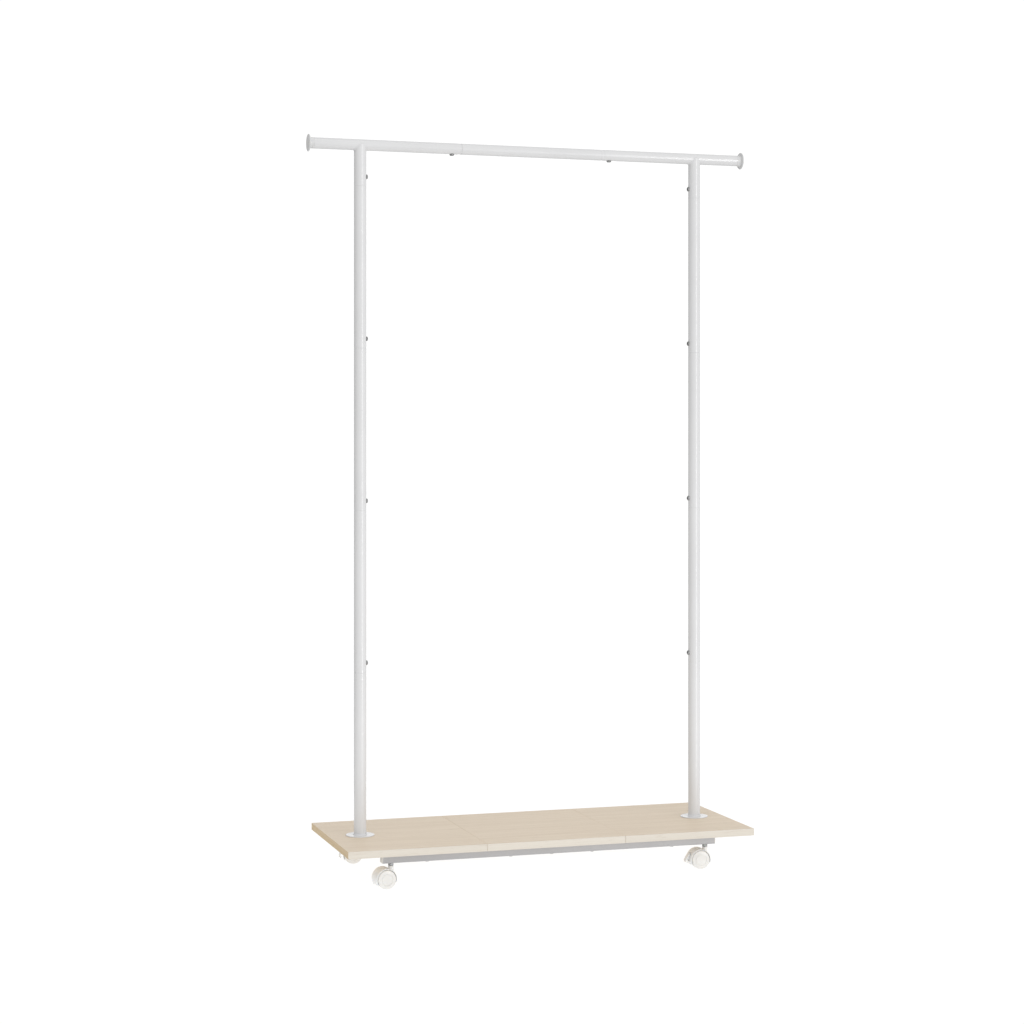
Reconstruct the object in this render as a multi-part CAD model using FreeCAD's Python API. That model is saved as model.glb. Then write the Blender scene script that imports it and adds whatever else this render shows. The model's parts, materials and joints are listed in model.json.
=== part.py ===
"""Rolling clothes rack: one straight tube rail on two uprights, a low wooden shelf, four castors.

Units are millimetres. +X runs along the rail, +Y to the rear, +Z up. The origin lies on the
floor, midway between the uprights and midway across the shelf.
"""
import FreeCAD, Part
import math
import os

V = FreeCAD.Vector
SIDES = {"left": -1, "right": 1}
ENDS = {"front": -1, "rear": 1}

# ---- driving dimensions: tubes ------------------------------------------------------------
UPRIGHT_X = 405.0            # each upright's axis, from the middle of the rack
UPRIGHT_R = 14.0             # 28 mm tube
RAIL_R = 12.5                # 25 mm tube
WALL = 1.2
SPIGOT_LENGTH = 35.0         # reduced tube end that plugs into the next tube
SLIP = 0.1                   # radial clearance of a spigot in its socket
SPIGOT_LEAD = 2.0            # length of the taper at a spigot's tip
SPIGOT_NOSE = 0.7            # how much that taper takes off the radius
SPIGOT_INSET = 2.0           # where a spigot's bore has reached its full reduction, inside the seam
SPIGOT_RAMP_START = 6.0      # where the reduction begins, inside the seam
FIRST_SEAM_Z = 457.0         # joint line between the lowest two tubes of an upright
SEAM_PITCH = 365.0
TUBES_PER_UPRIGHT = 4
SCREW_OFFSET = 21.5          # from a joint line to the screw that locks it
EDGE_BREAK = 0.5
CUT_OVER = 1.0               # how far a cutting tool runs past the face that it opens
CROSS_DRILL = 20.0           # reach of a drill that goes from a tube's axis through one wall
PRESS_GAP = 0.02             # radial gap that stands for a press fit or a weld
TINY = 0.01                  # tolerance for telling edges apart

# ---- driving dimensions: hanging rail ---------------------------------------------------------
RAIL_AXIS_Z = 1645.0
RAIL_HALF = 525.0            # half the length over the end caps
RAIL_JOINT_X = 169.0
RAIL_NECK_LENGTH = 8.0       # rolled-in end of an outer section
RAIL_NECK_DEPTH = 0.35
STUB_SPARE = 3.0             # room over the spigot inside the T stub
STUB_UPPER_BORE_R = 12.0
CAP_DISC_R = 19.5
CAP_DISC_THICK = 3.0
CAP_COLLAR = 10.0
CAP_FILLET = 3.0
CAP_PLUG_LENGTH = 20.0
CAP_PLUG_LEAD = 2.0
CAP_LIP = 0.3
CAP_BACK_EDGE = 0.9
CAP_FACE_EDGE = ((0.0, 1.1), (0.4, 0.4), (1.4, 0.0))    # inward and back from the disc's corner

# ---- driving dimensions: shelf and base rails ---------------------------------------------------
SHELF_HALF_X = 476.0
SHELF_HALF_Y = 188.0
SHELF_TOP = 90.5
SHELF_THICK = 16.0
SHELF_SEAM_X = 162.0
SHELF_GAP = 0.4
SHELF_BOTTOM = SHELF_TOP - SHELF_THICK
BASE_RAIL_Y = 147.0
BASE_RAIL_HALF = 393.0
BASE_RAIL_SIZE = 20.0
BASE_RAIL_CORNER = 2.5
BASE_PLUG_FACE = 2.5
BASE_PLUG_DEPTH = 14.0
BASE_PLUG_ROUND = 1.2        # rounding of the plug's outer face
BASE_PLUG_CORE_ROUND = 1.0
BASE_PLUG_WALL = 1.5
BASE_PLUG_WALL_ROUND = 0.5
BASE_RAIL_BOTTOM = SHELF_BOTTOM - BASE_RAIL_SIZE
PANEL_SCREW_X = (-289.0, -96.0, 0.0, 96.0, 289.0)

# ---- driving dimensions: feet of the uprights ----------------------------------------------------
FLANGE_R = 32.5
FLANGE_THICK = 2.2
FLANGE_WELD = 2.5
FLANGE_UNDER_EDGE = 0.6
FLANGE_TOP_EDGE = 0.9
FOOT_PLATE_R = 30.0
FOOT_PLATE_THICK = 2.0
FOOT_NUT_HEIGHT = 14.0
FOOT_NUT_LEAD = 1.0
FOOT_BOLT_SPARE = 2.0        # how far the bolt ends short of the nut's top
FOOT_BOLT_HEAD_R = 7.0
FOOT_BOLT_HEAD_HEIGHT = 4.4

# ---- driving dimensions: fasteners ---------------------------------------------------------------
# A domed head's outline, as shares of its radius and height, and its hexagonal socket.
HEAD_OUTLINE = ((1.0, 0.0), (1.0, 0.45), (0.9, 0.75), (0.62, 1.0))
SOCKET_SHARE = 0.62          # the socket's half width, as a share of the shank's radius
SOCKET_FLOOR = 0.4           # the socket's floor, as a share of the head's height
M6_R = 3.0
M8_R = 4.0
THREAD_GAP = 0.05            # a bolt modelled smooth stands this far inside its thread
CLEARANCE_HOLE = 0.4         # added to a bolt's radius for its hole in a wall
TUBE_SCREW_HEAD_R = 5.3
TUBE_SCREW_HEAD_HEIGHT = 3.4
TUBE_SCREW_LENGTH = 10.0
WELD_NUT_R = 5.0
WELD_NUT_HEIGHT = 5.0
PANEL_SCREW_HEAD_R = 5.0
PANEL_SCREW_HEAD_HEIGHT = 2.4
PANEL_INSERT_R = 5.0
PANEL_INSERT_DEPTH = 12.0
PANEL_SCREW_SPARE = 2.0      # how far a panel screw ends short of its insert's end
INSERT_SPARE = 0.5           # room over an insert in its blind hole
CASTOR_INSERT_R = 6.0
CASTOR_INSERT_DEPTH = 13.0

# ---- driving dimensions: castors -------------------------------------------------------------------
CASTOR_X = 371.0
CASTOR_TRAIL = 15.0          # from the swivel axis back to the axle
WHEEL_R = 21.0
WHEEL_INNER_Y = 8.0
WHEEL_OUTER_Y = 20.5
WHEEL_SHOULDER = 2.5
WHEEL_BEVEL = 0.8
WHEEL_DRUM_R = 11.7          # hub ring that the brake bar bears on
WHEEL_RIM_INNER_R = 17.4
WHEEL_HOLLOW_DEPTH = 7.5
WHEEL_RIM_DROP = 0.9         # how far the face's outer ring slopes back to the shoulder
WHEEL_GROOVE_R = 12.4
WHEEL_GROOVE_WIDTH = 0.8
WHEEL_GROOVE_DEPTH = 0.6
AXLE_R = 3.0
AXLE_HALF = 18.4
AXLE_END_GAP = 0.3
AXLE_TIP = 0.6
RUNNING_CLEARANCE = 0.05
HOOD_OUTER_R = 23.8
HOOD_INNER_R = 21.9
HOOD_HALF_WIDTH = 18.5
HOOD_EDGE_ROUND = 1.3
HOOD_EDGE_SHARE = 0.3        # the rounding's middle point, as a share of its size
HOOD_FRONT_ANGLE = -17.0     # ends of the hood's arc, from +X round over the top
HOOD_BACK_ANGLE = 212.0
WEB_HALF = 7.2
WEB_HUB_R = 12.0
BOSS_R = 6.25
BOSS_TOP = 48.0
BOSS_EDGE = 0.8
SOCKET_BOTTOM = 27.5
PIN_END_GAP = 0.1
STEM_LEAD = 1.0
COLLAR_EDGE = 0.7
COLLAR_BOTTOM = 48.5
COLLAR_FLATS = 11.0
STEM_TOP = BASE_RAIL_BOTTOM + BASE_RAIL_SIZE + 11.5

# Each castor's place, its turn about its stem as it stands at rest, and whether it has a brake.
CASTORS = {
    "front_left": (-1, -1, 5.5, False),
    "front_right": (1, -1, -4.0, True),
    "rear_left": (-1, 1, -13.0, True),
    "rear_right": (1, 1, -12.0, False),
}

# ---- driving dimensions: brake, from the axle's centre ---------------------------------------------
PIVOT = (-14.5, 9.0)
PIVOT_R = 1.5
PIVOT_PIN_GAP = 0.1          # how far the pin's ends stand inside the web's faces
BRAKE_BAR = (-14.7, 2.6)
BRAKE_BAR_R = 1.6
BRAKE_BAR_HALF = 11.0
BRAKE_WINDOW_R = 3.0
BRAKE_WINDOW_SHIFT = 0.7
PEDAL_HALF_WIDTH = 7.5
TREAD_CENTRE = (25.65, -28.1)
TREAD_R = 64.2
TREAD_THICK = 1.9
TREAD_ROUND = 0.6
TREAD_ANGLES = (139.3, 157.4)    # from +X round over the top
TREAD_LIP = [                # the underside of the lip, from its rounded nose back to the tread
    (-31.2, -7.8),
    (-28.2, -9.0),
    (-27.5, -7.2),
    (-30.6, -5.9),
]
LIP_NOSE = (-33.2, -5.9)
PEDAL_ARM_HALF = 4.2
PEDAL_ARM = [
    (-13.0, 12.4),
    (-23.0, 12.4),
    (-29.9, 1.5),
    (-31.2, -1.5),
    (-16.0, 0.2),
    (-12.6, 1.2),
    (-11.2, 5.0),
    (-10.9, 9.5),
]
PEDAL_SLOT_HALF = 4.5
PEDAL_SLOT = (-50.0, -8.5, -4.5, 13.6)


# ---- small builders ------------------------------------------------------------------------------------
def block(x0, x1, y0, y1, z0, z1):
    """A box between two corners."""
    return Part.makeBox(x1 - x0, y1 - y0, z1 - z0, V(x0, y0, z0))


def rod(radius, start, end):
    """A cylinder from one point to another."""
    line = V(*end) - V(*start)
    return Part.makeCylinder(radius, line.Length, V(*start), line)


def closed_face(points):
    """A flat face with straight sides."""
    return Part.Face(Part.makePolygon(points + [points[0]]))


def turned(profile):
    """A solid of revolution about +Z from a closed outline of (radius, height) points."""
    face = closed_face([V(radius, 0, height) for radius, height in profile])
    return face.revolve(V(0, 0, 0), V(0, 0, 1), 360)


def laid_along_x(shape, mirrored=False):
    """Turn a shape built up +Z so that +Z points along +X, or along -X when mirrored."""
    laid = shape.copy()
    laid.rotate(V(0, 0, 0), V(0, 1, 0), -90 if mirrored else 90)
    laid.translate(V(0, 0, RAIL_AXIS_Z))
    return laid


def domed_screw(radius, length, head_radius, head_height):
    """A smooth screw on +Z: its head stands on z = 0 and its shank runs down to -length."""
    dome = [(head_radius * r, head_height * z) for r, z in HEAD_OUTLINE]
    head = turned([(0, 0), *dome, (0, head_height)])
    shank = rod(radius, (0, 0, -length), (0, 0, 0))
    socket_flats = radius * SOCKET_SHARE * math.sqrt(3)
    socket = hex_bar(socket_flats, head_height * SOCKET_FLOOR, head_height + CUT_OVER)
    return head.fuse(shank).cut(socket).removeSplitter()


def hex_bar(across_flats, z0, z1):
    """A hexagonal bar on +Z."""
    corner = across_flats / math.sqrt(3)
    angles = [math.radians(60 * k) for k in range(6)]
    outline = closed_face([V(corner * math.cos(a), corner * math.sin(a), z0) for a in angles])
    return outline.extrude(V(0, 0, z1 - z0))


def save(name, *shapes):
    """Write one node: a single solid, or a group of separate solids."""
    shape = shapes[0] if len(shapes) == 1 else Part.makeCompound(list(shapes))
    for solid in shape.Solids:
        if not solid.isValid():
            print("invalid solid in", name)
    print(f"{name:38s} solids {len(shape.Solids)}  volume {shape.Volume / 1000:9.2f} cm3")
    shape.exportStep(f"parts/{name}.step")


# ---- uprights -------------------------------------------------------------------------------------------
def seam_z(index):
    """Height of the joint line above tube number index, counted from 1 at the bottom."""
    return FIRST_SEAM_Z + (index - 1) * SEAM_PITCH


def tube_profile(outer_r, z0, z1):
    """A tube from z0 to z1 whose top end is reduced to a spigot."""
    inner_r = outer_r - WALL
    spigot_r = inner_r - SLIP
    spigot_top = z1 + SPIGOT_LENGTH
    return [
        (inner_r, z0),
        (outer_r - EDGE_BREAK, z0),
        (outer_r, z0 + EDGE_BREAK),
        (outer_r, z1 - EDGE_BREAK),
        (outer_r - EDGE_BREAK, z1),
        (spigot_r, z1),
        (spigot_r, spigot_top - SPIGOT_LEAD),
        (spigot_r - SPIGOT_NOSE, spigot_top),
        (spigot_r - WALL, spigot_top),
        (spigot_r - WALL, z1 - SPIGOT_INSET),
        (inner_r, z1 - SPIGOT_RAMP_START),
    ]


def upright_tube(side, index):
    """One tube of an upright: the lowest stands on a welded flange."""
    lowest = index == 1
    z0 = SHELF_TOP + FLANGE_THICK if lowest else seam_z(index - 1)
    z1 = seam_z(index)
    tube = turned(tube_profile(UPRIGHT_R, z0, z1))
    hole_r = M6_R + CLEARANCE_HOLE
    inward = -side * CROSS_DRILL
    spigot_hole_z = z1 + SCREW_OFFSET
    tube = tube.cut(rod(hole_r, (0, 0, spigot_hole_z), (inward, 0, spigot_hole_z)))
    if lowest:
        tube = tube.fuse(flange())
    else:
        hole_z = z0 + SCREW_OFFSET
        tube = tube.cut(rod(hole_r, (0, 0, hole_z), (inward, 0, hole_z)))
    tube.translate(V(side * UPRIGHT_X, 0, 0))
    return tube


def flange():
    """The foot flange, with its weld to the tube and a hole for the foot bolt."""
    top = SHELF_TOP + FLANGE_THICK
    return turned([
        (M8_R + CLEARANCE_HOLE, SHELF_TOP),
        (FLANGE_R - FLANGE_UNDER_EDGE, SHELF_TOP),
        (FLANGE_R, SHELF_TOP + FLANGE_UNDER_EDGE),
        (FLANGE_R, top - FLANGE_TOP_EDGE),
        (FLANGE_R - FLANGE_TOP_EDGE, top),
        (UPRIGHT_R + FLANGE_WELD, top),
        (UPRIGHT_R + FLANGE_WELD * 0.3, top + FLANGE_WELD * 0.3),
        (UPRIGHT_R, top + FLANGE_WELD),
        (UPRIGHT_R - WALL, top + FLANGE_WELD),
        (UPRIGHT_R - WALL, top),
        (M8_R + CLEARANCE_HOLE, top),
    ])


def tube_screw(spot, outward):
    """A screw whose head rests on the tube at spot and faces outward."""
    screw = domed_screw(M6_R, TUBE_SCREW_LENGTH, TUBE_SCREW_HEAD_R, TUBE_SCREW_HEAD_HEIGHT)
    return aimed(screw, spot, outward)


def aimed(shape, spot, direction):
    """Move a shape built on +Z to spot, with its +Z pointing along direction."""
    placed = shape.copy()
    placed.Placement = FreeCAD.Placement(V(*spot), FreeCAD.Rotation(V(0, 0, 1), V(*direction)))
    return placed


def weld_nut(wall_r, outward, tube_axis, spot):
    """A nut welded inside a tube of inner radius wall_r, at a spot on the tube's own axis."""
    out = V(*outward)
    along = V(*tube_axis)
    blank = rod(WELD_NUT_R, out * (wall_r - WELD_NUT_HEIGHT), out * (wall_r + CUT_OVER))
    inside = rod(wall_r - PRESS_GAP, along * (-2 * WELD_NUT_R), along * (2 * WELD_NUT_R))
    hole = rod(M6_R + THREAD_GAP, out * 0, out * (2 * wall_r))
    nut = blank.common(inside).cut(hole)
    nut.translate(V(*spot))
    return nut


def upright_joint_nut(side, index):
    """The nut in one spigot of an upright."""
    spot = (side * UPRIGHT_X, 0, seam_z(index) + SCREW_OFFSET)
    return weld_nut(UPRIGHT_R - 2 * WALL - SLIP, (-side, 0, 0), (0, 0, 1), spot)


def foot_nut(side):
    """The threaded plug in the foot of an upright."""
    bottom = SHELF_TOP + FLANGE_THICK
    radius = UPRIGHT_R - WALL - SLIP
    plug = turned([
        (M8_R + THREAD_GAP, bottom),
        (radius - FOOT_NUT_LEAD, bottom),
        (radius, bottom + FOOT_NUT_LEAD),
        (radius, bottom + FOOT_NUT_HEIGHT),
        (M8_R + THREAD_GAP, bottom + FOOT_NUT_HEIGHT),
    ])
    plug.translate(V(side * UPRIGHT_X, 0, 0))
    return plug


def foot_plate(side):
    """The steel plate under the shelf that spreads the upright's load."""
    plate = turned([
        (M8_R + CLEARANCE_HOLE, SHELF_BOTTOM - FOOT_PLATE_THICK),
        (FOOT_PLATE_R - EDGE_BREAK, SHELF_BOTTOM - FOOT_PLATE_THICK),
        (FOOT_PLATE_R, SHELF_BOTTOM - FOOT_PLATE_THICK + EDGE_BREAK),
        (FOOT_PLATE_R, SHELF_BOTTOM),
        (M8_R + CLEARANCE_HOLE, SHELF_BOTTOM),
    ])
    plate.translate(V(side * UPRIGHT_X, 0, 0))
    return plate


def foot_bolt(side):
    """The bolt that clamps plate, shelf and flange together from below."""
    clamped = FOOT_PLATE_THICK + SHELF_THICK + FLANGE_THICK
    length = clamped + FOOT_NUT_HEIGHT - FOOT_BOLT_SPARE
    bolt = domed_screw(M8_R, length, FOOT_BOLT_HEAD_R, FOOT_BOLT_HEAD_HEIGHT)
    return aimed(bolt, (side * UPRIGHT_X, 0, SHELF_BOTTOM - FOOT_PLATE_THICK), (0, 0, -1))


# ---- hanging rail ---------------------------------------------------------------------------------------
def outer_rail_section(side):
    """An outer length of the rail with the T stub that sits on its upright."""
    inner_r = RAIL_R - WALL
    neck_r = RAIL_R - RAIL_NECK_DEPTH
    outer_end = RAIL_HALF - CAP_DISC_THICK - CAP_COLLAR
    neck_end = RAIL_JOINT_X + RAIL_NECK_LENGTH
    tube = turned([
        (inner_r, RAIL_JOINT_X),
        (neck_r - EDGE_BREAK, RAIL_JOINT_X),
        (neck_r, RAIL_JOINT_X + EDGE_BREAK),
        (neck_r, neck_end - EDGE_BREAK),
        (RAIL_R, neck_end),
        (RAIL_R, outer_end - EDGE_BREAK),
        (RAIL_R - EDGE_BREAK, outer_end),
        (inner_r, outer_end),
    ])
    tube = laid_along_x(tube, mirrored=side < 0)
    x = side * UPRIGHT_X
    stub_bottom = seam_z(TUBES_PER_UPRIGHT)
    stub = turned([
        (0, stub_bottom),
        (UPRIGHT_R - EDGE_BREAK, stub_bottom),
        (UPRIGHT_R, stub_bottom + EDGE_BREAK),
        (UPRIGHT_R, RAIL_AXIS_Z),
        (0, RAIL_AXIS_Z),
    ])
    stub.translate(V(x, 0, 0))
    section = tube.fuse(stub)
    reach = UPRIGHT_R + CROSS_DRILL
    section = section.cut(rod(inner_r, (x - reach, 0, RAIL_AXIS_Z), (x + reach, 0, RAIL_AXIS_Z)))
    socket_top = stub_bottom + SPIGOT_LENGTH + STUB_SPARE
    bore = rod(UPRIGHT_R - WALL, (x, 0, stub_bottom - CUT_OVER), (x, 0, socket_top))
    upper_bore = rod(STUB_UPPER_BORE_R, (x, 0, socket_top - CUT_OVER), (x, 0, RAIL_AXIS_Z))
    rail_core = rod(RAIL_R, (x - reach, 0, RAIL_AXIS_Z), (x + reach, 0, RAIL_AXIS_Z))
    section = section.cut(bore).cut(upper_bore.cut(rail_core))
    hole_r = M6_R + CLEARANCE_HOLE
    screw_x = side * (RAIL_JOINT_X + SCREW_OFFSET)
    low = RAIL_AXIS_Z - CROSS_DRILL
    section = section.cut(rod(hole_r, (screw_x, 0, low), (screw_x, 0, RAIL_AXIS_Z)))
    stub_screw_z = stub_bottom + SCREW_OFFSET
    inward = x - side * CROSS_DRILL
    section = section.cut(rod(hole_r, (x, 0, stub_screw_z), (inward, 0, stub_screw_z)))
    return section.removeSplitter()


def middle_rail_section():
    """The middle length of the rail, reduced at both ends to plug into the outer lengths."""
    spigot_r = RAIL_R - WALL - SLIP
    end = RAIL_JOINT_X + SPIGOT_LENGTH
    half = [
        (RAIL_R - WALL, RAIL_JOINT_X - SPIGOT_RAMP_START),
        (spigot_r - WALL, RAIL_JOINT_X - SPIGOT_INSET),
        (spigot_r - WALL, end),
        (spigot_r - SPIGOT_NOSE, end),
        (spigot_r, end - SPIGOT_LEAD),
        (spigot_r, RAIL_JOINT_X),
        (RAIL_R - EDGE_BREAK, RAIL_JOINT_X),
        (RAIL_R, RAIL_JOINT_X - EDGE_BREAK),
    ]
    outline = half + [(r, -z) for r, z in reversed(half)]
    tube = laid_along_x(turned(outline))
    for side in SIDES.values():
        x = side * (RAIL_JOINT_X + SCREW_OFFSET)
        low = (x, 0, RAIL_AXIS_Z - CROSS_DRILL)
        tube = tube.cut(rod(M6_R + CLEARANCE_HOLE, low, (x, 0, RAIL_AXIS_Z)))
    return tube


def rail_end_cap(side):
    """A moulded stop cap: a disc, a filleted neck, a collar and a plug inside the tube."""
    plug_r = RAIL_R - WALL - SLIP
    disc_top = RAIL_HALF
    disc_bottom = RAIL_HALF - CAP_DISC_THICK
    collar_end = disc_bottom - CAP_COLLAR
    plug_end = collar_end - CAP_PLUG_LENGTH
    steps = 6
    neck = []
    for k in range(steps + 1):
        angle = math.radians(90 * k / steps)
        radius = RAIL_R + CAP_FILLET * (1 - math.cos(angle))
        neck.append((radius, disc_bottom - CAP_FILLET * (1 - math.sin(angle))))
    cap = turned([
        (0, plug_end),
        (plug_r - CAP_PLUG_LEAD / 2, plug_end),
        (plug_r, plug_end + CAP_PLUG_LEAD),
        (plug_r, collar_end),
        (RAIL_R - CAP_LIP, collar_end),
        (RAIL_R, collar_end + CAP_LIP),
        *neck,
        (CAP_DISC_R - CAP_BACK_EDGE, disc_bottom),
        (CAP_DISC_R, disc_bottom + CAP_BACK_EDGE),
        *[(CAP_DISC_R - inward, disc_top - back) for inward, back in CAP_FACE_EDGE],
        (0, disc_top),
    ])
    return laid_along_x(cap, mirrored=side < 0)


def rail_joint_nut(side):
    """The nut in one spigot of the middle rail section."""
    spot = (side * (RAIL_JOINT_X + SCREW_OFFSET), 0, RAIL_AXIS_Z)
    return weld_nut(RAIL_R - 2 * WALL - SLIP, (0, 0, -1), (1, 0, 0), spot)


# ---- shelf and base rails -----------------------------------------------------------------------------
def shelf_panel(x0, x1):
    """One board of the shelf, with blind holes for its threaded inserts."""
    panel = block(x0, x1, -SHELF_HALF_Y, SHELF_HALF_Y, SHELF_BOTTOM, SHELF_TOP)
    panel = panel.makeChamfer(EDGE_BREAK, panel.Edges)
    below = SHELF_BOTTOM - CUT_OVER
    for x, y in panel_insert_places():
        if x0 < x < x1:
            panel = panel.cut(rod(PANEL_INSERT_R, (x, y, below),
                                  (x, y, SHELF_BOTTOM + PANEL_INSERT_DEPTH)))
    for x, y in castor_places():
        if x0 < x < x1:
            panel = panel.cut(rod(CASTOR_INSERT_R, (x, y, below),
                                  (x, y, SHELF_BOTTOM + CASTOR_INSERT_DEPTH)))
    for side in SIDES.values():
        x = side * UPRIGHT_X
        if x0 < x < x1:
            hole = rod(M8_R + CLEARANCE_HOLE, (x, 0, below), (x, 0, SHELF_TOP + CUT_OVER))
            panel = panel.cut(hole)
    return panel


def panel_insert_places():
    """Where the panel screws go, front and rear."""
    return [(x, end * BASE_RAIL_Y) for end in ENDS.values() for x in PANEL_SCREW_X]


def castor_places():
    """The four swivel axes."""
    return [(sx * CASTOR_X, sy * BASE_RAIL_Y) for sx, sy, _, _ in CASTORS.values()]


def threaded_insert(radius, bore, depth, place):
    """A metal insert driven into the underside of a shelf board."""
    x, y = place
    top = SHELF_BOTTOM + depth - INSERT_SPARE
    shell = rod(radius - THREAD_GAP, (x, y, SHELF_BOTTOM), (x, y, top))
    return shell.cut(rod(bore, (x, y, SHELF_BOTTOM - CUT_OVER), (x, y, top + CUT_OVER)))


def rounded_bar(y, size, corner, x0, x1, z_mid):
    """A square bar along X with rounded long edges."""
    half = size / 2
    bar = block(x0, x1, y - half, y + half, z_mid - half, z_mid + half)
    long_edges = [edge for edge in bar.Edges if edge.BoundBox.XLength > x1 - x0 - TINY]
    return bar.makeFillet(corner, long_edges)


def base_rail(end):
    """The square tube under the front or rear of the shelf."""
    y = end * BASE_RAIL_Y
    reach = BASE_RAIL_HALF - BASE_PLUG_FACE
    z_mid = BASE_RAIL_BOTTOM + BASE_RAIL_SIZE / 2
    outer = rounded_bar(y, BASE_RAIL_SIZE, BASE_RAIL_CORNER, -reach, reach, z_mid)
    inner_size = BASE_RAIL_SIZE - 2 * WALL
    past = reach + CUT_OVER
    inner = rounded_bar(y, inner_size, BASE_RAIL_CORNER - WALL, -past, past, z_mid)
    tube = outer.cut(inner)
    low = BASE_RAIL_BOTTOM - CUT_OVER
    high = SHELF_BOTTOM + CUT_OVER
    for x in PANEL_SCREW_X:
        tube = tube.cut(rod(M6_R + CLEARANCE_HOLE, (x, y, low), (x, y, high)))
    for side in SIDES.values():
        x = side * CASTOR_X
        tube = tube.cut(rod(M8_R + CLEARANCE_HOLE, (x, y, low), (x, y, high)))
    return tube


def base_rail_plug(side, end):
    """The plastic plug that closes one end of a base rail."""
    y = end * BASE_RAIL_Y
    z_mid = BASE_RAIL_BOTTOM + BASE_RAIL_SIZE / 2
    face_x = side * BASE_RAIL_HALF
    lip_x = side * (BASE_RAIL_HALF - BASE_PLUG_FACE)
    body_x = side * (BASE_RAIL_HALF - BASE_PLUG_DEPTH)
    face = rounded_bar(y, BASE_RAIL_SIZE, BASE_RAIL_CORNER, min(face_x, lip_x), max(face_x, lip_x),
                       z_mid)
    outer_loop = [edge for edge in face.Edges if abs(edge.CenterOfMass.x - face_x) < TINY]
    face = face.makeFillet(BASE_PLUG_ROUND, outer_loop)
    x0, x1 = sorted((body_x, lip_x))
    core_size = BASE_RAIL_SIZE - 2 * WALL - 2 * SLIP
    core = rounded_bar(y, core_size, BASE_PLUG_CORE_ROUND, x0, x1, z_mid)
    hollow_size = core_size - 2 * BASE_PLUG_WALL
    hollow = rounded_bar(y, hollow_size, BASE_PLUG_WALL_ROUND, x0 - CUT_OVER, x1 - CUT_OVER, z_mid)
    if side < 0:
        hollow.translate(V(2 * CUT_OVER, 0, 0))
    return face.fuse(core.cut(hollow)).removeSplitter()


def panel_screw(x, end):
    """A screw up through a base rail into the shelf."""
    length = BASE_RAIL_SIZE + PANEL_INSERT_DEPTH - PANEL_SCREW_SPARE
    screw = domed_screw(M6_R - THREAD_GAP, length, PANEL_SCREW_HEAD_R, PANEL_SCREW_HEAD_HEIGHT)
    return aimed(screw, (x, end * BASE_RAIL_Y, BASE_RAIL_BOTTOM), (0, 0, -1))


# ---- castors ---------------------------------------------------------------------------------------------
def extruded(points, half_width):
    """A plate across the castor from (x, z) points measured from the axle's centre."""
    face = closed_face([V(x - CASTOR_TRAIL, -half_width, z + WHEEL_R) for x, z in points])
    return face.extrude(V(0, 2 * half_width, 0))


def across(radius, half_length, centre=(0.0, 0.0)):
    """A cylinder across the castor, about a point measured from the axle's centre."""
    x = centre[0] - CASTOR_TRAIL
    z = centre[1] + WHEEL_R
    return rod(radius, (x, -half_length, z), (x, half_length, z))


def about_axle(profile, start=0.0, sweep=360.0):
    """Turn an outline of (radius, y) points about the axle, from one angle over the top."""
    face = closed_face([V(radius, y, 0) for radius, y in profile])
    face.rotate(V(0, 0, 0), V(0, 1, 0), -start)
    solid = face.revolve(V(0, 0, 0), V(0, 1, 0), -sweep)
    solid.translate(V(-CASTOR_TRAIL, 0, WHEEL_R))
    return solid


def castor_stem():
    """The steel stem: a thread, a hexagonal collar, and the plain pin that the hood swivels on."""
    pin_bottom = SOCKET_BOTTOM + PIN_END_GAP
    pin = turned([
        (0, pin_bottom),
        (M8_R - STEM_LEAD, pin_bottom),
        (M8_R, pin_bottom + STEM_LEAD),
        (M8_R, STEM_TOP - STEM_LEAD),
        (M8_R - STEM_LEAD, STEM_TOP),
        (0, STEM_TOP),
    ])
    collar = hex_bar(COLLAR_FLATS, COLLAR_BOTTOM, BASE_RAIL_BOTTOM)
    corner = COLLAR_FLATS / math.sqrt(3)
    rounded = turned([
        (0, COLLAR_BOTTOM),
        (corner - COLLAR_EDGE, COLLAR_BOTTOM),
        (corner, COLLAR_BOTTOM + COLLAR_EDGE),
        (corner, BASE_RAIL_BOTTOM),
        (0, BASE_RAIL_BOTTOM),
    ])
    return pin.fuse(collar.common(rounded)).removeSplitter()


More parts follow.
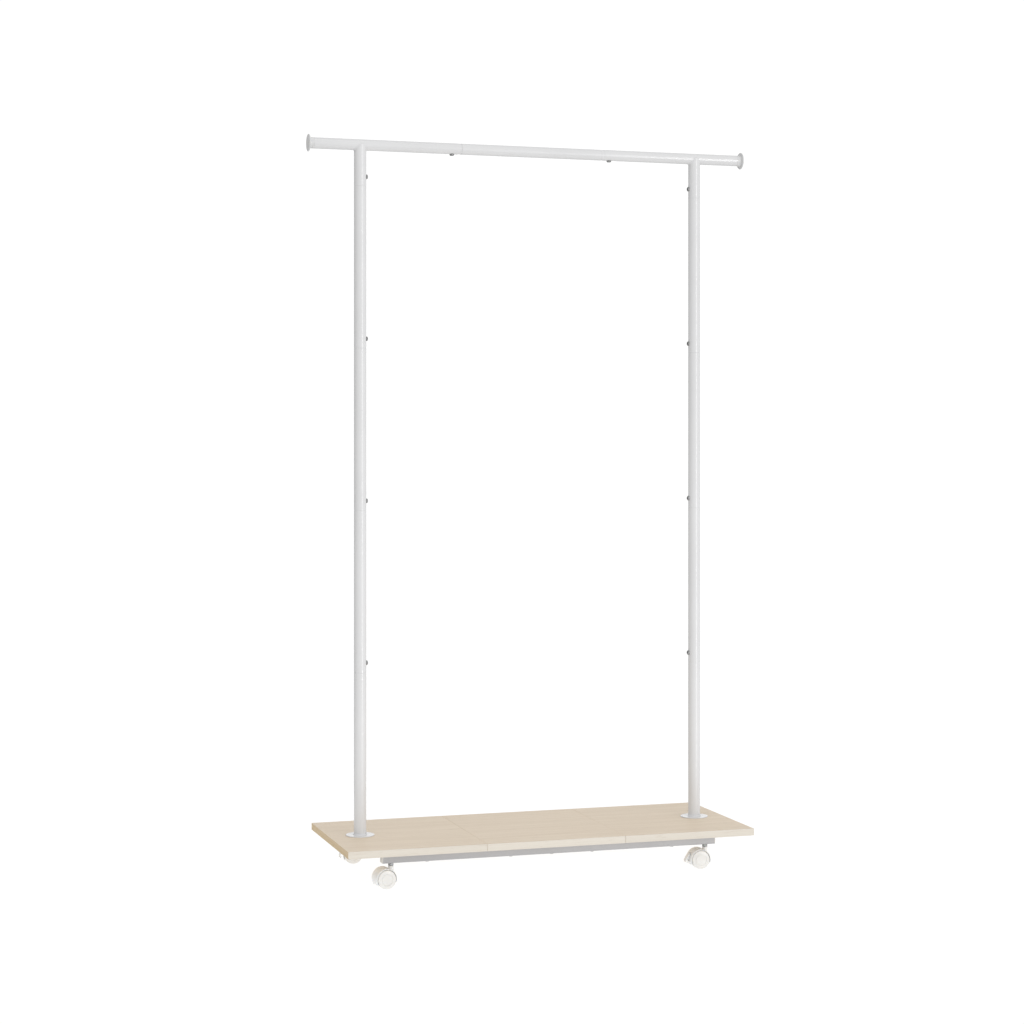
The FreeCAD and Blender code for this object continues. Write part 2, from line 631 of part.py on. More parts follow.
def castor_hood(braked):
    """The hood: an arched cover over both wheels, a web between them and the stem's socket."""
    edge = HOOD_EDGE_ROUND
    width = HOOD_HALF_WIDTH
    half = [(HOOD_INNER_R, width), (HOOD_OUTER_R - edge, width)]
    middle = edge * HOOD_EDGE_SHARE
    half += [(HOOD_OUTER_R - middle, width - middle), (HOOD_OUTER_R, width - edge)]
    outline = half + [(r, -y) for r, y in reversed(half)]
    sweep = HOOD_BACK_ANGLE - HOOD_FRONT_ANGLE
    cover = about_axle(outline, HOOD_FRONT_ANGLE, sweep)
    overlap_r = (HOOD_INNER_R + HOOD_OUTER_R) / 2
    front = math.radians(HOOD_FRONT_ANGLE)
    back = math.radians(HOOD_BACK_ANGLE)
    far = HOOD_OUTER_R * 2
    upper = extruded([
        (overlap_r * math.cos(back), overlap_r * math.sin(back)),
        (overlap_r * math.cos(front), overlap_r * math.sin(front)),
        (far, overlap_r * math.sin(front)),
        (far, far),
        (-far, far),
        (-far, overlap_r * math.sin(back)),
    ], WEB_HALF)
    web = across(overlap_r, WEB_HALF).common(upper).fuse(across(WEB_HUB_R, WEB_HALF))
    boss = turned([
        (0, SOCKET_BOTTOM),
        (BOSS_R, SOCKET_BOTTOM),
        (BOSS_R, BOSS_TOP - BOSS_EDGE),
        (BOSS_R - BOSS_EDGE, BOSS_TOP),
        (0, BOSS_TOP),
    ])
    hood = cover.fuse([web, boss])
    socket_end = BOSS_TOP + CUT_OVER
    hood = hood.cut(rod(M8_R + RUNNING_CLEARANCE, (0, 0, SOCKET_BOTTOM), (0, 0, socket_end)))
    hood = hood.cut(across(AXLE_R + PRESS_GAP, WEB_HALF + CUT_OVER))
    if braked:
        x0, x1, z0, z1 = PEDAL_SLOT
        hood = hood.cut(extruded([(x0, z0), (x1, z0), (x1, z1), (x0, z1)], PEDAL_SLOT_HALF))
        window = (BRAKE_BAR[0] + BRAKE_WINDOW_SHIFT, BRAKE_BAR[1])
        hood = hood.cut(across(BRAKE_WINDOW_R, WEB_HALF + CUT_OVER, window))
        hood = hood.cut(across(PIVOT_R + PRESS_GAP, WEB_HALF + CUT_OVER, PIVOT))
    return hood.removeSplitter()


def castor_axle():
    """The plain steel axle, held in the hood's web."""
    half = [(AXLE_R, AXLE_HALF - AXLE_TIP), (AXLE_R - AXLE_TIP, AXLE_HALF)]
    outline = [(0, -AXLE_HALF)] + [(r, -y) for r, y in reversed(half)] + half + [(0, AXLE_HALF)]
    return about_axle(outline)


def castor_wheel(direction):
    """A hollow-backed wheel on one side of the web: direction is -1 towards the front."""
    face_y = WHEEL_OUTER_Y
    shoulder = WHEEL_SHOULDER
    groove_in = WHEEL_GROOVE_R - WHEEL_GROOVE_WIDTH / 2
    groove_out = WHEEL_GROOVE_R + WHEEL_GROOVE_WIDTH / 2
    groove_y = face_y - WHEEL_GROOVE_DEPTH
    shoulder_y = face_y - WHEEL_RIM_DROP - shoulder
    steps = 4
    rounded = []
    for k in range(steps + 1):
        angle = math.radians(90 * k / steps)
        rounded.append((WHEEL_R - shoulder + shoulder * math.cos(angle),
                        shoulder_y + shoulder * math.sin(angle)))
    hollow_y = WHEEL_INNER_Y + WHEEL_HOLLOW_DEPTH
    axle_hole_end = AXLE_HALF + AXLE_END_GAP
    outline = [
        (AXLE_R + RUNNING_CLEARANCE, WHEEL_INNER_Y),
        (WHEEL_DRUM_R, WHEEL_INNER_Y),
        (WHEEL_DRUM_R, hollow_y),
        (WHEEL_RIM_INNER_R, hollow_y),
        (WHEEL_RIM_INNER_R, WHEEL_INNER_Y),
        (WHEEL_R - WHEEL_BEVEL, WHEEL_INNER_Y),
        (WHEEL_R, WHEEL_INNER_Y + WHEEL_BEVEL),
        *rounded,
        (groove_out, face_y),
        (groove_out, groove_y),
        (groove_in, groove_y),
        (groove_in, face_y),
        (0, face_y),
        (0, axle_hole_end),
        (AXLE_R + RUNNING_CLEARANCE, axle_hole_end),
    ]
    return about_axle([(radius, direction * y) for radius, y in outline])


def brake_pedal():
    """The brake pedal: a curved tread with a lip outside the hood, a pivoted arm and a cross bar."""
    def place(x, z):
        """A point of the tread's section, given from the axle's centre."""
        return V(x - CASTOR_TRAIL, -PEDAL_HALF_WIDTH, z + WHEEL_R)

    def point(radius, angle):
        """A point about the centre of the tread's curve."""
        x = TREAD_CENTRE[0] + radius * math.cos(math.radians(angle))
        z = TREAD_CENTRE[1] + radius * math.sin(math.radians(angle))
        return place(x, z)

    top, bottom = TREAD_ANGLES
    middle = (top + bottom) / 2
    inner_r = TREAD_R - TREAD_THICK
    lip = [place(x, z) for x, z in TREAD_LIP] + [point(inner_r, bottom)]
    edges = [
        Part.Arc(point(TREAD_R, top), point(TREAD_R, middle), point(TREAD_R, bottom)),
        Part.Arc(point(TREAD_R, bottom), place(*LIP_NOSE), lip[0]),
    ]
    edges += [Part.LineSegment(start, end) for start, end in zip(lip, lip[1:])]
    edges.append(Part.Arc(point(inner_r, bottom), point(inner_r, middle), point(inner_r, top)))
    edges.append(Part.LineSegment(point(inner_r, top), point(TREAD_R, top)))
    outline = Part.Wire([edge.toShape() for edge in edges])
    tread = rounded_tread(Part.Face(outline).extrude(V(0, 2 * PEDAL_HALF_WIDTH, 0)))
    arm = extruded(PEDAL_ARM, PEDAL_ARM_HALF)
    pedal = tread.fuse([arm, across(BRAKE_BAR_R, BRAKE_BAR_HALF, BRAKE_BAR)])
    pedal = pedal.cut(across(PIVOT_R + RUNNING_CLEARANCE, PEDAL_ARM_HALF + CUT_OVER, PIVOT))
    return pedal.removeSplitter()


def rounded_tread(tread):
    """Break the edges that run across the pedal's tread."""
    cross = [edge for edge in tread.Edges if edge.Length > 2 * PEDAL_HALF_WIDTH - TINY
             and abs(edge.CenterOfMass.y) < TINY]
    return tread.makeFillet(TREAD_ROUND, cross)


def place_castor(shape, name):
    """Turn a castor piece about its stem and move it under its corner."""
    side, end, turn, _ = CASTORS[name]
    placed = shape.copy()
    placed.rotate(V(0, 0, 0), V(0, 0, 1), turn)
    placed.translate(V(side * CASTOR_X, end * BASE_RAIL_Y, 0))
    return placed


def castor(name):
    """Write every piece of one castor."""
    braked = CASTORS[name][3]
    pieces = {
        "stem": castor_stem(),
        "hood": castor_hood(braked),
        "axle": castor_axle(),
        "front_wheel": castor_wheel(-1),
        "rear_wheel": castor_wheel(1),
    }
    if braked:
        pieces["brake_pedal"] = brake_pedal()
        pieces["brake_pin"] = across(PIVOT_R, WEB_HALF - PIVOT_PIN_GAP, PIVOT)
    for piece, shape in pieces.items():
        save(f"castor_{name}_{piece}", place_castor(shape, name))


# ---- assembly --------------------------------------------------------------------------------------------
def rail():
    """The hanging rail: three lengths, two caps and the screws under its joints."""
    for label, side in SIDES.items():
        save(f"rail_{label}_section", outer_rail_section(side))
        save(f"rail_{label}_end_cap", rail_end_cap(side))
    save("rail_middle_section", middle_rail_section())
    spots = [(side * (RAIL_JOINT_X + SCREW_OFFSET), 0, RAIL_AXIS_Z - RAIL_R)
             for side in SIDES.values()]
    save("rail_screws", *[tube_screw(spot, (0, 0, -1)) for spot in spots])
    save("rail_joint_nuts", *[rail_joint_nut(side) for side in SIDES.values()])


def uprights():
    """Both uprights with their joint screws, nuts and feet."""
    numbers = range(1, TUBES_PER_UPRIGHT + 1)
    for label, side in SIDES.items():
        for index in numbers:
            save(f"upright_{label}_tube_{index}", upright_tube(side, index))
        face_x = side * (UPRIGHT_X - UPRIGHT_R)
        spots = [(face_x, 0, seam_z(index) + SCREW_OFFSET) for index in numbers]
        save(f"upright_{label}_screws", *[tube_screw(spot, (-side, 0, 0)) for spot in spots])
        save(f"upright_{label}_joint_nuts", *[upright_joint_nut(side, index) for index in numbers])
        save(f"upright_{label}_foot_nut", foot_nut(side))
    save("upright_foot_plates", *[foot_plate(side) for side in SIDES.values()])
    save("upright_foot_bolts", *[foot_bolt(side) for side in SIDES.values()])


def base():
    """The shelf boards, the two base rails and what fastens them."""
    inner = SHELF_SEAM_X - SHELF_GAP / 2
    outer = SHELF_SEAM_X + SHELF_GAP / 2
    save("shelf_left_panel", shelf_panel(-SHELF_HALF_X, -outer))
    save("shelf_middle_panel", shelf_panel(-inner, inner))
    save("shelf_right_panel", shelf_panel(outer, SHELF_HALF_X))
    for label, end in ENDS.items():
        save(f"base_rail_{label}", base_rail(end))
        save(f"base_rail_{label}_plugs", *[base_rail_plug(side, end) for side in SIDES.values()])
        save(f"panel_screws_{label}", *[panel_screw(x, end) for x in PANEL_SCREW_X])
    save("panel_inserts", *[threaded_insert(PANEL_INSERT_R, M6_R, PANEL_INSERT_DEPTH, place)
                            for place in panel_insert_places()])
    bore = M8_R + THREAD_GAP
    save("castor_inserts", *[threaded_insert(CASTOR_INSERT_R, bore, CASTOR_INSERT_DEPTH, place)
                             for place in castor_places()])


def main():
    os.makedirs("parts", exist_ok=True)
    rail()
    uprights()
    base()
    for name in CASTORS:
        castor(name)


main()
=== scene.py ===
"""The looks of the rolling clothes rack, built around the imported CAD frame.

Everything is in metres in the frame's own axes: +X along the rail, +Y to the rear, +Z up,
with the origin on the floor midway between the uprights.
"""

import json
import math

import bmesh
import bpy
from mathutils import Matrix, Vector

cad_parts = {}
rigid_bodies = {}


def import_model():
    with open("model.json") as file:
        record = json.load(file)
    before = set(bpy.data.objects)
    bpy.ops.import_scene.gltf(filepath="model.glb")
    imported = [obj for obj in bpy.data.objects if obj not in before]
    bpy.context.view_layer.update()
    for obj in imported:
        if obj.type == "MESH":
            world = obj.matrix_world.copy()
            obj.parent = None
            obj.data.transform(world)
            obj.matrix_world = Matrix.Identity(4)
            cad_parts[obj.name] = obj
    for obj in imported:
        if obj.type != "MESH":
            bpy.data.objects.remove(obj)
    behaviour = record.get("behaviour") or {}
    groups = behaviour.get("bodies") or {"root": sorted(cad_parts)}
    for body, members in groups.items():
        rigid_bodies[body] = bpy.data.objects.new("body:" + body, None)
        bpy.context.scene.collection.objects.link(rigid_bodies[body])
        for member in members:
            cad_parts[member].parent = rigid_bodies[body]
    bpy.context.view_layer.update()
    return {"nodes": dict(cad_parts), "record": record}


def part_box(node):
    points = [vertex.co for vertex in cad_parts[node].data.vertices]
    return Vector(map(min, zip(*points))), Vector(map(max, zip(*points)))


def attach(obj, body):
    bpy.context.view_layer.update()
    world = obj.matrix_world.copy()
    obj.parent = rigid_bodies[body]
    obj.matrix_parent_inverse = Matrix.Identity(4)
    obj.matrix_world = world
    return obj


MM = 0.001

# ---- camera --------------------------------------------------------------------------------------
CAMERA_AT = (-1.5254, -4.6989, 0.9729)
CAMERA_YAW = -17.471          # degrees
LENS = 75.234                 # millimetres, for the sensor's width below
SENSOR = 36.0
SHIFT_UP = -0.06704           # in widths of the picture
CLIP_END = 200.0

# ---- studio: each direction points from the rack to where the light comes from -------------------
BRIGHT_SIDE = Vector((0.2, -0.9, 0.35)).normalized()
BRIGHT_LEVEL = 0.86           # the surroundings' strength in that direction
DIM_LEVEL = 0.46              # and in the opposite one
WHITE_WALL = Vector((0.3, 0.95, 0.1)).normalized()
WALL_LIFT = 0.85              # the light that the wall adds in its middle
WALL_SPREAD = 0.9             # cosine of the angle from there at which it has faded to nothing
BACKDROP_LEVEL = 1.05         # what the camera sees behind the rack
WHITE = (1, 1, 1, 1)
FLOOR_RADIUS = 1.25
FLOOR_SEGMENTS = 96
FLOOR_GREY = (0.2, 0.2, 0.2, 1)
FLOOR_GLOW = 0.88

# ---- finishes ------------------------------------------------------------------------------------
CLOUDY = (0.35, 0.65)         # the part of a noise that a change of colour is spread over
MIDDLE = (0.3, 0.7)           # the part that a change of roughness is spread over
SHARP_ANGLE = math.radians(32)

# The shelf's tones: on the large faces, the long edge bands and the end bands.
BIRCH_PALE = ((0.87, 0.75, 0.605), (0.76, 0.71, 0.63), (0.68, 0.54, 0.355))
BIRCH_MID = ((0.83, 0.71, 0.565), (0.725, 0.675, 0.595), (0.64, 0.50, 0.315))
BIRCH_DEEP = ((0.725, 0.60, 0.455), (0.67, 0.61, 0.52), (0.55, 0.42, 0.25))
BIRCH_PORE = (0.42, 0.33, 0.23)
GRAIN_SHIFTS = {"shelf_left_panel": 0.0, "shelf_middle_panel": 3.7, "shelf_right_panel": 8.9}
GRAIN_DRIFT = 0.37            # how far the grain also shifts across, as a share of its shift along
END_ZONE = 76 * MM            # an end band lies within this of the shelf's end
END_FACING = 0.9              # and looks at least this much along X
BAND_FACING = 0.5             # a long edge band looks at least this much along Y

# ---- welds ---------------------------------------------------------------------------------------
FLANGE_THICK = 2.2 * MM
FOOT_BEAD = 3.0 * MM          # how far it reaches along the flange and up the tube
FOOT_BEAD_STEPS = 144
RAIL_BEAD = 3.0 * MM          # the radius of the ball that shapes it
RAIL_BEAD_STEPS = 160
RAIL_BEAD_DEPTH = 1.2 * MM    # how far its hidden edge lies behind its surface
SADDLE_FALL = 1.2 * MM        # beside the rail it starts this far below the rail's axis, on the stub
SADDLE_CLIMB = 2.6 * MM       # and ends this far above it, on the rail


# ---- materials -----------------------------------------------------------------------------------
def stretched(tree, value, limits, results):
    """The value between two limits, stretched between two results and held there outside them."""
    made = tree.nodes.new("ShaderNodeMapRange")
    tree.links.new(value, made.inputs["Value"])
    for key, number in zip(("From Min", "From Max", "To Min", "To Max"), (*limits, *results)):
        made.inputs[key].default_value = number
    return made.outputs["Result"]


class Paint:
    """A procedural material, with short ways to add the nodes that it needs."""

    def __init__(self, name, **values):
        self.material = bpy.data.materials.new(name)
        self.material.use_nodes = True
        self.tree = self.material.node_tree
        self.shader = self.tree.nodes["Principled BSDF"]
        for key, value in values.items():
            self.set(key.replace("_", " "), value)

    def set(self, key, value):
        self.feed(self.shader.inputs[key], value)

    def feed(self, socket, value):
        if isinstance(value, bpy.types.NodeSocket):
            self.tree.links.new(value, socket)
        else:
            socket.default_value = value

    def node(self, kind, **links):
        made = self.tree.nodes.new(kind)
        for key, value in links.items():
            self.feed(made.inputs[key.replace("_", " ")], value)
        return made

    def spot(self, stretch=(1, 1, 1), move=(0, 0, 0)):
        """The place on the object, stretched so that a pattern runs long or short."""
        where = self.node("ShaderNodeTexCoord").outputs["Object"]
        return self.node("ShaderNodeMapping", Vector=where, Scale=stretch, Location=move).outputs[0]

    def noise(self, where, scale, detail, roughness=0.5, distortion=0.0):
        return self.node("ShaderNodeTexNoise", Vector=where, Scale=scale, Detail=detail,
                         Roughness=roughness, Distortion=distortion).outputs["Fac"]

    def crystals(self, where, scale):
        """Cells that each have a colour of their own."""
        return self.node("ShaderNodeTexVoronoi", Vector=where, Scale=scale).outputs["Color"]

    def span(self, value, limits, results):
        return stretched(self.tree, value, limits, results)

    def share(self, value, limits, most=1.0):
        """Nothing up to the first limit, rising to most at the second."""
        return self.span(value, limits, (0.0, most))

    def math(self, operation, first, second=0.0):
        made = self.tree.nodes.new("ShaderNodeMath")
        made.operation = operation
        self.feed(made.inputs[0], first)
        self.feed(made.inputs[1], second)
        return made.outputs[0]

    def beyond(self, value, limit):
        """1 where the value, without its sign, is over the limit, and 0 elsewhere."""
        return self.math("GREATER_THAN", self.math("ABSOLUTE", value), limit)

    def mix(self, factor, first, second):
        made = self.tree.nodes.new("ShaderNodeMix")
        made.data_type = "RGBA"
        self.feed(made.inputs["Factor"], factor)
        colours = [socket for socket in made.inputs if socket.type == "RGBA"]
        for socket, value in zip(colours, (first, second)):
            self.feed(socket, (*value, 1) if isinstance(value, tuple) else value)
        return [socket for socket in made.outputs if socket.type == "RGBA"][0]

    def bump(self, *layers):
        """Stack (height, depth in metres) layers on the shader's normal."""
        normal = None
        for height, depth in layers:
            made = self.node("ShaderNodeBump", Height=height, Distance=depth, Strength=1.0)
            if normal is not None:
                self.feed(made.inputs["Normal"], normal)
            normal = made.outputs[0]
        self.set("Normal", normal)


def powder_coat(name, colour, dark, roughness, metallic=0.0):
    """Sprayed and baked paint: faint orange peel, faint clouding and tiny specks."""
    paint = Paint(name, Metallic=metallic)
    where = paint.spot()
    cloud = paint.noise(where, scale=9.0, detail=2.0)
    speck = paint.noise(where, scale=1500.0, detail=1.0)
    tone = paint.mix(paint.share(cloud, CLOUDY), dark, colour)
    tone = paint.mix(paint.share(speck, (0.62, 0.74), most=0.16), tone, dark)
    paint.set("Base Color", tone)
    paint.set("Roughness", paint.span(cloud, MIDDLE, (roughness - 0.04, roughness + 0.04)))
    peel = paint.noise(where, scale=420.0, detail=2.0)
    fine = paint.noise(where, scale=1900.0, detail=1.0)
    paint.bump((peel, 0.02 * MM), (fine, 0.006 * MM))
    return paint.material


def moulded_plastic(name, colour, dark, roughness):
    """Moulded plastic: a little light passes into it, with a fine eroded mould texture."""
    paint = Paint(name, Subsurface_Weight=0.12, Subsurface_Radius=(1.0, 0.9, 0.75),
                  Subsurface_Scale=1.2 * MM)
    where = paint.spot()
    cloud = paint.noise(where, scale=45.0, detail=3.0)
    scuff = paint.noise(paint.spot((1, 1, 3)), scale=260.0, detail=6.0, roughness=0.7)
    tone = paint.mix(paint.share(cloud, CLOUDY), dark, colour)
    tone = paint.mix(paint.share(scuff, (0.64, 0.8), most=0.25), tone, dark)
    paint.set("Base Color", tone)
    paint.set("Roughness", paint.span(scuff, (0.3, 0.75), (roughness - 0.05, roughness + 0.09)))
    grit = paint.noise(where, scale=2200.0, detail=2.0)
    paint.bump((grit, 0.02 * MM))
    return paint.material


def plated_steel(name, colour, dark, roughness):
    """Plated steel: mottled crystals of slightly different tone, with fine drawing lines."""
    paint = Paint(name, Metallic=1.0)
    crystal = paint.crystals(paint.spot(), scale=900.0)
    mottle = paint.noise(paint.spot(), scale=240.0, detail=4.0)
    tone = paint.mix(paint.share(mottle, CLOUDY), dark, colour)
    tone = paint.mix(0.06, tone, crystal)
    paint.set("Base Color", tone)
    paint.set("Roughness", paint.span(mottle, MIDDLE, (roughness - 0.07, roughness + 0.08)))
    lines = paint.noise(paint.spot((1, 1, 14)), scale=700.0, detail=3.0)
    paint.bump((lines, 0.01 * MM), (mottle, 0.02 * MM))
    return paint.material


def birch_board(name, shift):
    """Pale birch laminate: straight fine grain along X, and along Y on the end bands."""
    paint = Paint(name, Specular_IOR_Level=0.15)
    place = paint.node("ShaderNodeTexCoord")
    facing = paint.node("ShaderNodeSeparateXYZ", Vector=place.outputs["Normal"])
    where = paint.node("ShaderNodeSeparateXYZ", Vector=place.outputs["Object"])
    shelf_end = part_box("shelf_right_panel")[1].x
    near_end = paint.beyond(where.outputs["X"], shelf_end - END_ZONE)
    on_end = paint.math("MULTIPLY", near_end, paint.beyond(facing.outputs["X"], END_FACING))
    on_band = paint.beyond(facing.outputs["Y"], BAND_FACING)

    def grain(along, across, **look):
        """A noise that runs along X, and along Y on the end bands."""
        main = paint.noise(paint.spot((along, across, across), (shift, shift * GRAIN_DRIFT, 0)), **look)
        end = paint.noise(paint.spot((across, along, across), (0, shift, 0)), **look)
        return paint.mix(on_end, main, end)

    def by_face(top, band, end):
        return paint.mix(on_end, paint.mix(on_band, top, band), end)

    band = grain(along=0.9, across=22.0, scale=1.6, detail=3.0, roughness=0.5, distortion=0.35)
    streak = grain(along=2.2, across=170.0, scale=1.7, detail=4.0, roughness=0.6, distortion=0.15)
    fibre = grain(along=12.0, across=1300.0, scale=1.0, detail=3.0, roughness=0.6)
    pore = grain(along=38.0, across=1200.0, scale=1.0, detail=1.0)
    deep = by_face(*BIRCH_DEEP)
    tone = paint.mix(paint.share(band, CLOUDY), by_face(*BIRCH_MID), by_face(*BIRCH_PALE))
    tone = paint.mix(paint.share(streak, (0.46, 0.70), most=0.5), tone, deep)
    tone = paint.mix(paint.share(fibre, (0.4, 0.7), most=0.14), tone, deep)
    tone = paint.mix(paint.share(pore, (0.66, 0.74), most=0.35), tone, BIRCH_PORE)
    paint.set("Base Color", tone)
    paint.set("Roughness", paint.span(streak, MIDDLE, (0.5, 0.62)))
    pit = paint.share(pore, (0.6, 0.74), most=-1.0)
    paint.bump((streak, 0.03 * MM), (pit, 0.03 * MM))
    return paint.material


def make_finishes():
    """One material for each of the record's slots but the shelf's, which has one for each board."""
    return {
        "white_tube": powder_coat(
            "white_powder_coat", (0.745, 0.745, 0.75), dark=(0.725, 0.725, 0.73), roughness=0.22),
        "base_rail_steel": powder_coat(
            "silver_grey_powder_coat", (0.44, 0.44, 0.45), dark=(0.41, 0.41, 0.42), roughness=0.4,
            metallic=0.2),
        "cap_plastic": moulded_plastic(
            "white_cap_plastic", (0.72, 0.72, 0.72), dark=(0.68, 0.68, 0.68), roughness=0.36),
        "plug_plastic": moulded_plastic(
            "grey_plug_plastic", (0.63, 0.63, 0.61), dark=(0.57, 0.565, 0.55), roughness=0.45),
        "castor_plastic": moulded_plastic(
            "castor_nylon", (0.895, 0.90, 0.895), dark=(0.84, 0.85, 0.845), roughness=0.34),
        "wheel_plastic": moulded_plastic(
            "wheel_nylon", (0.85, 0.84, 0.81), dark=(0.795, 0.78, 0.75), roughness=0.3),
        "zinc_steel": plated_steel(
            "zinc_plate", (0.50, 0.50, 0.50), dark=(0.36, 0.36, 0.37), roughness=0.34),
        "zinc_screw": plated_steel(
            "zinc_screw_plate", (0.66, 0.66, 0.65), dark=(0.52, 0.52, 0.52), roughness=0.32),
        # A darker copy of the plated steel: on the tube screws this is their own tone, while on the
        # castor stems the extra darkness is painted shade from the gap under the shelf.
        "dark_steel": plated_steel(
            "dark_steel_plate_and_painted_shade", (0.34, 0.34, 0.34), dark=(0.24, 0.24, 0.24), roughness=0.34),
    }


# ---- the CAD nodes get their finishes ------------------------------------------------------------
def finish_nodes(frame, finishes):
    """Smooth the rounded faces and give each node the finish of its slot."""
    slots = {part["node"]: part["material_slot"] for part in frame["record"]["subparts"]}
    for name, obj in frame["nodes"].items():
        if name in GRAIN_SHIFTS:
            material = birch_board(name + "_birch", GRAIN_SHIFTS[name])
        else:
            material = finishes[slots[name]]
        obj.data.materials.clear()
        obj.data.materials.append(material)
        obj.data.shade_smooth()
        obj.data.set_sharp_from_angle(angle=SHARP_ANGLE)


# ---- welds ---------------------------------------------------------------------------------------
def swept_ring(name, sections, material, body):
    """A closed ring lofted through closed cross-sections, each a list of points."""
    mesh = bmesh.new()
    rows = [[mesh.verts.new(point) for point in section] for section in sections]
    count = len(rows[0])
    for here, there in zip(rows, rows[1:] + rows[:1]):
        for k in range(count):
            n = (k + 1) % count
            mesh.faces.new((here[k], here[n], there[n], there[k]))
    bmesh.ops.recalc_face_normals(mesh, faces=mesh.faces)
    data = bpy.data.meshes.new(name)
    mesh.to_mesh(data)
    mesh.free()
    data.materials.append(material)
    data.shade_smooth()
    obj = bpy.data.objects.new(name, data)
    bpy.context.scene.collection.objects.link(obj)
    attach(obj, body)


def bezier(start, middle, end, steps):
    points = []
    for k in range(steps + 1):
        t = k / steps
        points.append(start * (1 - t) ** 2 + middle * 2 * t * (1 - t) + end * t ** 2)
    return points


def ripple(turn, waves, depth):
    """How far a weld's surface swells at this turn about the tube: short waves on long ones."""
    long_share, long_waves, long_start = 0.4, 0.37 * waves, 1.3
    return depth * (math.sin(turn * waves) + long_share * math.sin(turn * long_waves + long_start))


def around(turn, out, up):
    """The point at this turn about the upright's axis, so far out from it and so far up."""
    return Vector((out * math.cos(turn), out * math.sin(turn), up))


def upright_size(side):
    """Where an upright's axis stands along X, and the upright's radius."""
    low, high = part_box(f"upright_{side}_tube_4")
    return (low.x + high.x) / 2, (high.x - low.x) / 2


def foot_weld(side, material):
    """The bead that runs round an upright where it meets its foot flange."""
    x, post = upright_size(side)
    flange_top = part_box(f"upright_{side}_tube_1")[0].z + FLANGE_THICK
    centre = Vector((x, 0, flange_top))
    sections = []
    for k in range(FOOT_BEAD_STEPS):
        turn = 2 * math.pi * k / FOOT_BEAD_STEPS
        reach = FOOT_BEAD + ripple(turn, waves=29, depth=0.14 * MM)
        on_flange = around(turn, post + reach, -0.1 * MM)
        corner = around(turn, post + 0.8 * MM, 0.9 * MM)
        on_post = around(turn, post - 0.05 * MM, reach)
        inside = around(turn, post - 0.4 * MM, -0.4 * MM)
        outline = bezier(on_flange, corner, on_post, steps=6) + [inside]
        sections.append([centre + point for point in outline])
    swept_ring(f"foot_weld_{side}", sections, material, "frame")


def saddle_below(turn, post, rail, swell):
    """The rail weld's outline where the ball rests against both the stub and the rail."""
    around_post = post + RAIL_BEAD
    around_rail = rail + RAIL_BEAD
    y = around_post * math.sin(turn)
    z = -math.sqrt(around_rail ** 2 - y * y)
    hub = Vector((around_post * math.cos(turn), y, z))
    on_post = Vector((hub.x * post / around_post, y * post / around_post, z))
    on_rail = Vector((hub.x, y * rail / around_rail, z * rail / around_rail))
    first = on_post - hub
    second = on_rail - hub
    cosine = first.dot(second) / (first.length * second.length)
    inward = (first + second).normalized()
    corner = hub + (first + second) / (1 + cosine) - inward * swell
    inside = corner + inward * RAIL_BEAD_DEPTH
    return on_post, corner, on_rail, inside


def saddle_beside(turn, post, rail, swell, rise):
    """The rail weld's outline beside the rail, where it grows with rise, from 0 to 1."""
    on_post = around(turn, post - 0.03 * MM, -SADDLE_FALL * rise)
    climb = SADDLE_CLIMB * rise
    y = math.copysign(math.sqrt(rail ** 2 - climb ** 2), math.sin(turn))
    on_rail = Vector(((post + RAIL_BEAD) * math.cos(turn), y, climb))
    corner = around(turn, post + (0.5 * MM + swell) * rise, 0.9 * MM * rise)
    inside = Vector((on_rail.x, 0.9 * y, -0.6 * MM))
    return on_post, corner, on_rail, inside


def rail_weld(side, material):
    """The saddle weld where an upright's stub meets the rail, as a ball rolled round the corner."""
    x, post = upright_size(side)
    low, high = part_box("rail_middle_section")
    rail = (high.z - low.z) / 2
    centre = Vector((x, 0, (high.z + low.z) / 2))
    limit = math.asin((rail + RAIL_BEAD) / (post + RAIL_BEAD))
    sections = []
    for k in range(RAIL_BEAD_STEPS):
        turn = 2 * math.pi * (k + 0.5) / RAIL_BEAD_STEPS
        swell = ripple(turn, waves=31, depth=0.07 * MM)
        lean = math.asin(abs(math.sin(turn)))
        if lean < limit:
            on_post, corner, on_rail, inside = saddle_below(turn, post, rail, swell)
        else:
            part = (lean - limit) / (math.pi / 2 - limit)
            rise = math.sin(part * math.pi / 2) ** 0.5
            on_post, corner, on_rail, inside = saddle_beside(turn, post, rail, swell, rise)
        outline = bezier(on_post, corner, on_rail, steps=8) + [inside]
        sections.append([centre + point for point in outline])
    swept_ring(f"rail_weld_{side}", sections, material, "frame")


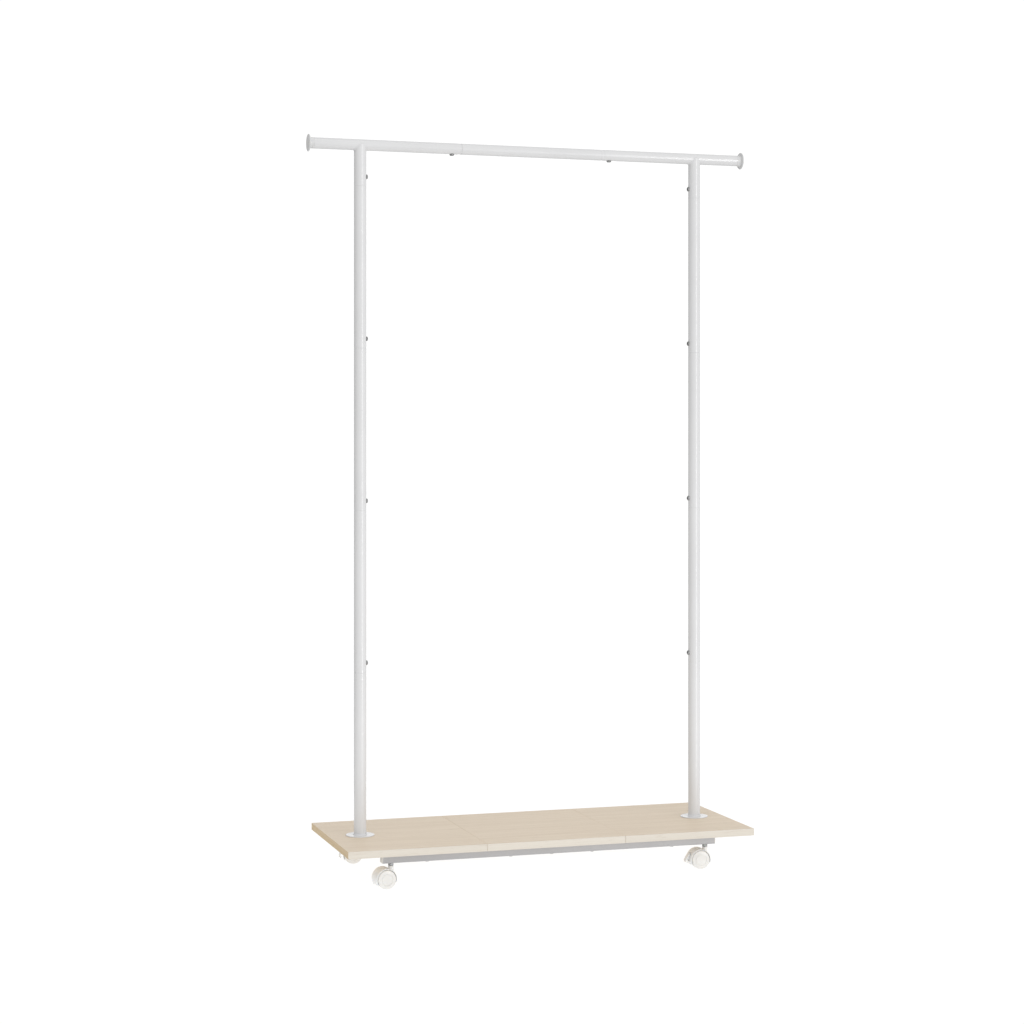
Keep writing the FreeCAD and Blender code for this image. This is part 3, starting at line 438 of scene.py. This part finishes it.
# ---- room ----------------------------------------------------------------------------------------
def make_surroundings():
    """White surroundings, brightest in front and on a patch of wall at the back.

    They light the rack, while the camera sees an even white backdrop.
    """
    world = bpy.data.worlds.new("studio")
    world.use_nodes = True
    bpy.context.scene.world = world
    tree = world.node_tree
    where = tree.nodes.new("ShaderNodeTexCoord")

    def glow(towards, start, low, high):
        """Light that grows from low, where the direction's cosine is start, to high."""
        facing = tree.nodes.new("ShaderNodeVectorMath")
        facing.operation = "DOT_PRODUCT"
        facing.inputs[1].default_value = towards
        tree.links.new(where.outputs["Generated"], facing.inputs[0])
        return stretched(tree, facing.outputs["Value"], (start, 1), (low, high))

    total = tree.nodes.new("ShaderNodeMath")
    tree.links.new(glow(BRIGHT_SIDE, -1, DIM_LEVEL, BRIGHT_LEVEL), total.inputs[0])
    tree.links.new(glow(WHITE_WALL, WALL_SPREAD, 0, WALL_LIFT), total.inputs[1])
    shade = tree.nodes["Background"]
    shade.inputs["Color"].default_value = WHITE
    tree.links.new(total.outputs[0], shade.inputs["Strength"])
    backdrop = tree.nodes.new("ShaderNodeBackground")
    backdrop.inputs["Color"].default_value = WHITE
    backdrop.inputs["Strength"].default_value = BACKDROP_LEVEL
    ray = tree.nodes.new("ShaderNodeLightPath")
    choose = tree.nodes.new("ShaderNodeMixShader")
    tree.links.new(ray.outputs["Is Camera Ray"], choose.inputs[0])
    tree.links.new(shade.outputs[0], choose.inputs[1])
    tree.links.new(backdrop.outputs[0], choose.inputs[2])
    tree.links.new(choose.outputs[0], tree.nodes["World Output"].inputs[0])


def make_floor():
    """A plain pale disc under the rack."""
    mesh = bmesh.new()
    bmesh.ops.create_circle(mesh, cap_ends=True, segments=FLOOR_SEGMENTS, radius=FLOOR_RADIUS)
    data = bpy.data.meshes.new("floor")
    mesh.to_mesh(data)
    mesh.free()
    floor = bpy.data.objects.new("floor", data)
    bpy.context.scene.collection.objects.link(floor)
    paint = Paint("pale_floor", Base_Color=FLOOR_GREY, Roughness=0.9, Specular_IOR_Level=0.1,
                  Emission_Color=WHITE, Emission_Strength=FLOOR_GLOW)
    data.materials.append(paint.material)


def soft_light(name, at, look_at, width, height, power):
    """A rectangular lamp that the camera doesn't see."""
    light = bpy.data.lights.new(name, "AREA")
    light.shape = "RECTANGLE"
    light.size = width
    light.size_y = height
    light.energy = power
    obj = bpy.data.objects.new(name, light)
    obj.location = at
    obj.rotation_euler = (Vector(look_at) - Vector(at)).to_track_quat("-Z", "Y").to_euler()
    obj.visible_camera = False
    bpy.context.scene.collection.objects.link(obj)


def make_lights():
    """A tall key lamp in front, to the right, and a wide one overhead."""
    soft_light("key", (5.5, -11.0, 0.5), look_at=(0, 0, 0.5), width=0.8, height=7.2, power=335)
    soft_light("top", (-1.0, -3.0, 11.0), look_at=(0, 0, 0.5), width=5.0, height=4.0, power=100)


def make_camera():
    """A level camera at the photograph's viewing angle."""
    data = bpy.data.cameras.new("camera")
    data.sensor_width = SENSOR
    data.lens = LENS
    data.shift_y = SHIFT_UP
    data.clip_end = CLIP_END
    obj = bpy.data.objects.new("camera", data)
    obj.location = CAMERA_AT
    obj.rotation_euler = (math.radians(90), 0, math.radians(CAMERA_YAW))
    bpy.context.scene.collection.objects.link(obj)
    bpy.context.scene.camera = obj


def main():
    bpy.ops.object.select_all(action="SELECT")
    bpy.ops.object.delete()
    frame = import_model()
    finishes = make_finishes()
    finish_nodes(frame, finishes)
    for side in ("left", "right"):
        foot_weld(side, finishes["white_tube"])
        rail_weld(side, finishes["white_tube"])
    make_surroundings()
    make_floor()
    make_lights()
    make_camera()
    bpy.context.scene.view_settings.view_transform = "Standard"
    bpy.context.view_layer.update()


main()
